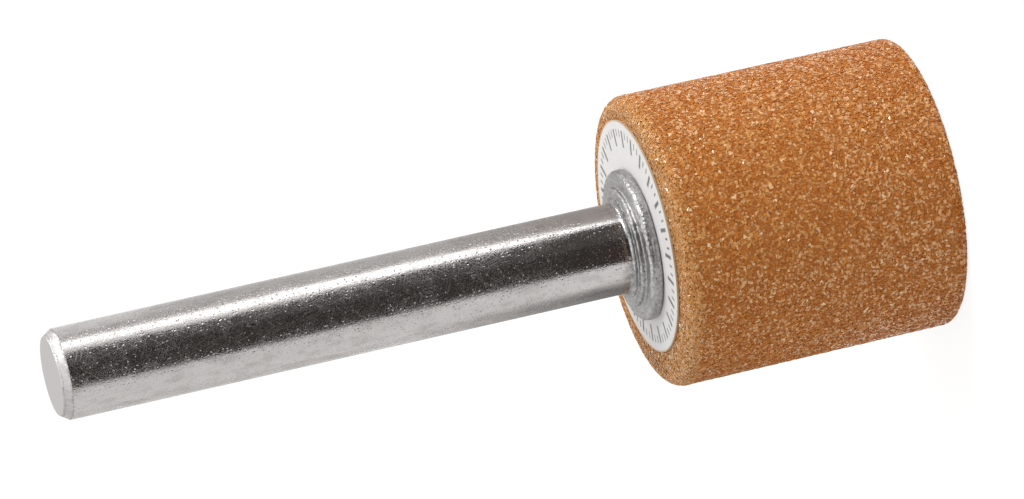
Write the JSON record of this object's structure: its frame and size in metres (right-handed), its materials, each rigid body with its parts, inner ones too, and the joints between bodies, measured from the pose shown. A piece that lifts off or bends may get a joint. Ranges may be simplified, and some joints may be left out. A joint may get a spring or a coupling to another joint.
{
  "type": "mounted point",
  "caption": "Cylindrical mounted grinding point: a bonded abrasive wheel on a straight steel shank, with a flanged collar over a round paper label, for collet-held die grinders.",
  "frame": {"origin": "centre of the wheel's free end face, on which the point stands", "axes": "+Z along the shank, from the wheel to the shank's tip"},
  "size_m": [0.0194, 0.0194, 0.0592],
  "materials": {
    "abrasive": "open coarse grain, orange-brown, translucent crystals",
    "plated_steel": "bright zinc plated, tumbled, fine scratches",
    "cast_collar": "dull grey zinc, slightly pitted",
    "label_paper": "matt white paper with a plain printed tick ring"
  },
  "bodies": {
    "root": {"abrasive_wheel": "abrasive", "shank": "plated_steel", "collar": "cast_collar", "label": "label_paper"}
  },
  "joints": []
}
